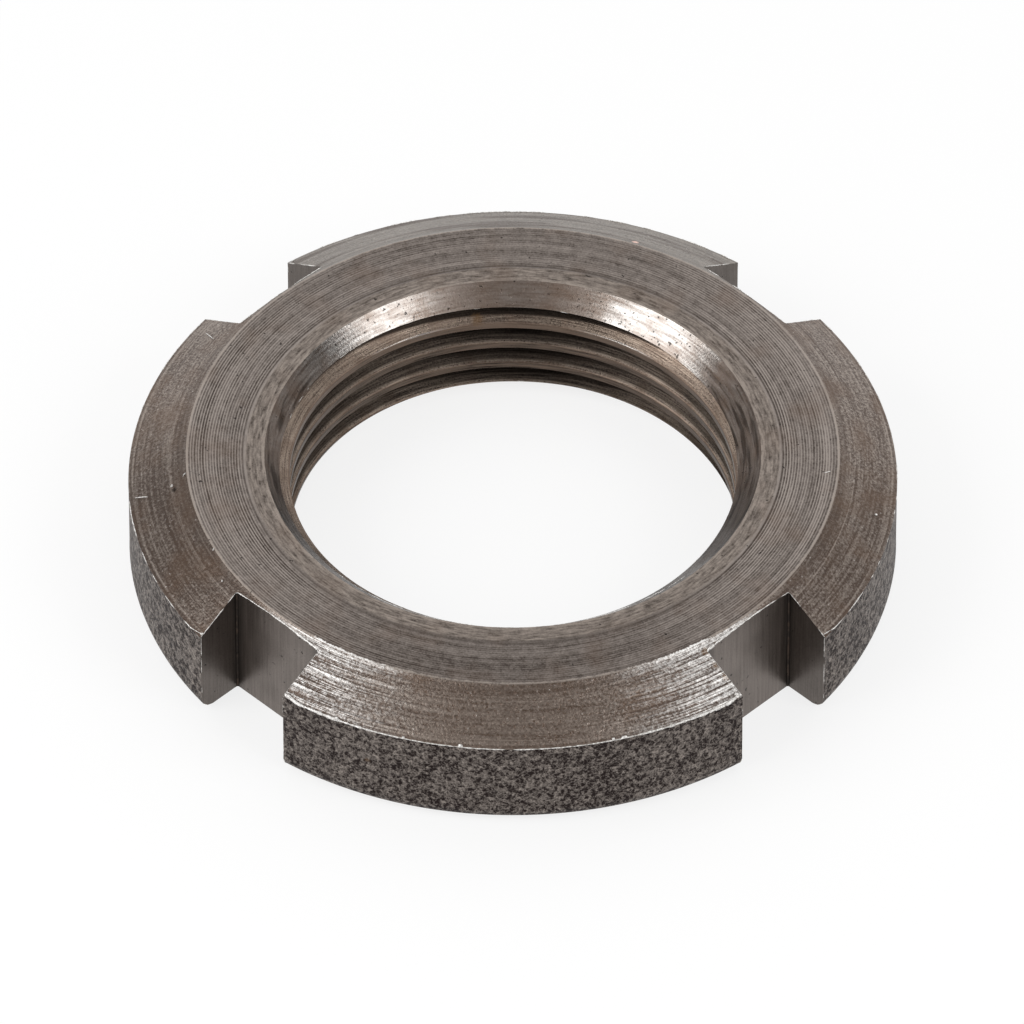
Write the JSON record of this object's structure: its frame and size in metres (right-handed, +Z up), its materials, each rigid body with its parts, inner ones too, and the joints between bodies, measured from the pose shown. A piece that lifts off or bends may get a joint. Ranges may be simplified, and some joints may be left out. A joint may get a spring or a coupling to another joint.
{
  "type": "ring nut",
  "caption": "Slotted steel ring nut with a fine metric thread, countersunk bore, bevelled upper face and open spanner slots in its rim.",
  "frame": {"origin": "centre of the lower face, on the thread's axis, where the nut rests", "axes": "+Z up along the thread's axis, from the flat bearing face to the bevelled face; +X and +Y each run out through the middle of a spanner slot"},
  "size_m": [0.0416, 0.0416, 0.0075],
  "materials": {
    "turned_steel": "bare turned and milled steel, with turning rings on its faces and a little rust"
  },
  "bodies": {
    "root": {"ring_nut": "turned_steel"}
  },
  "joints": []
}
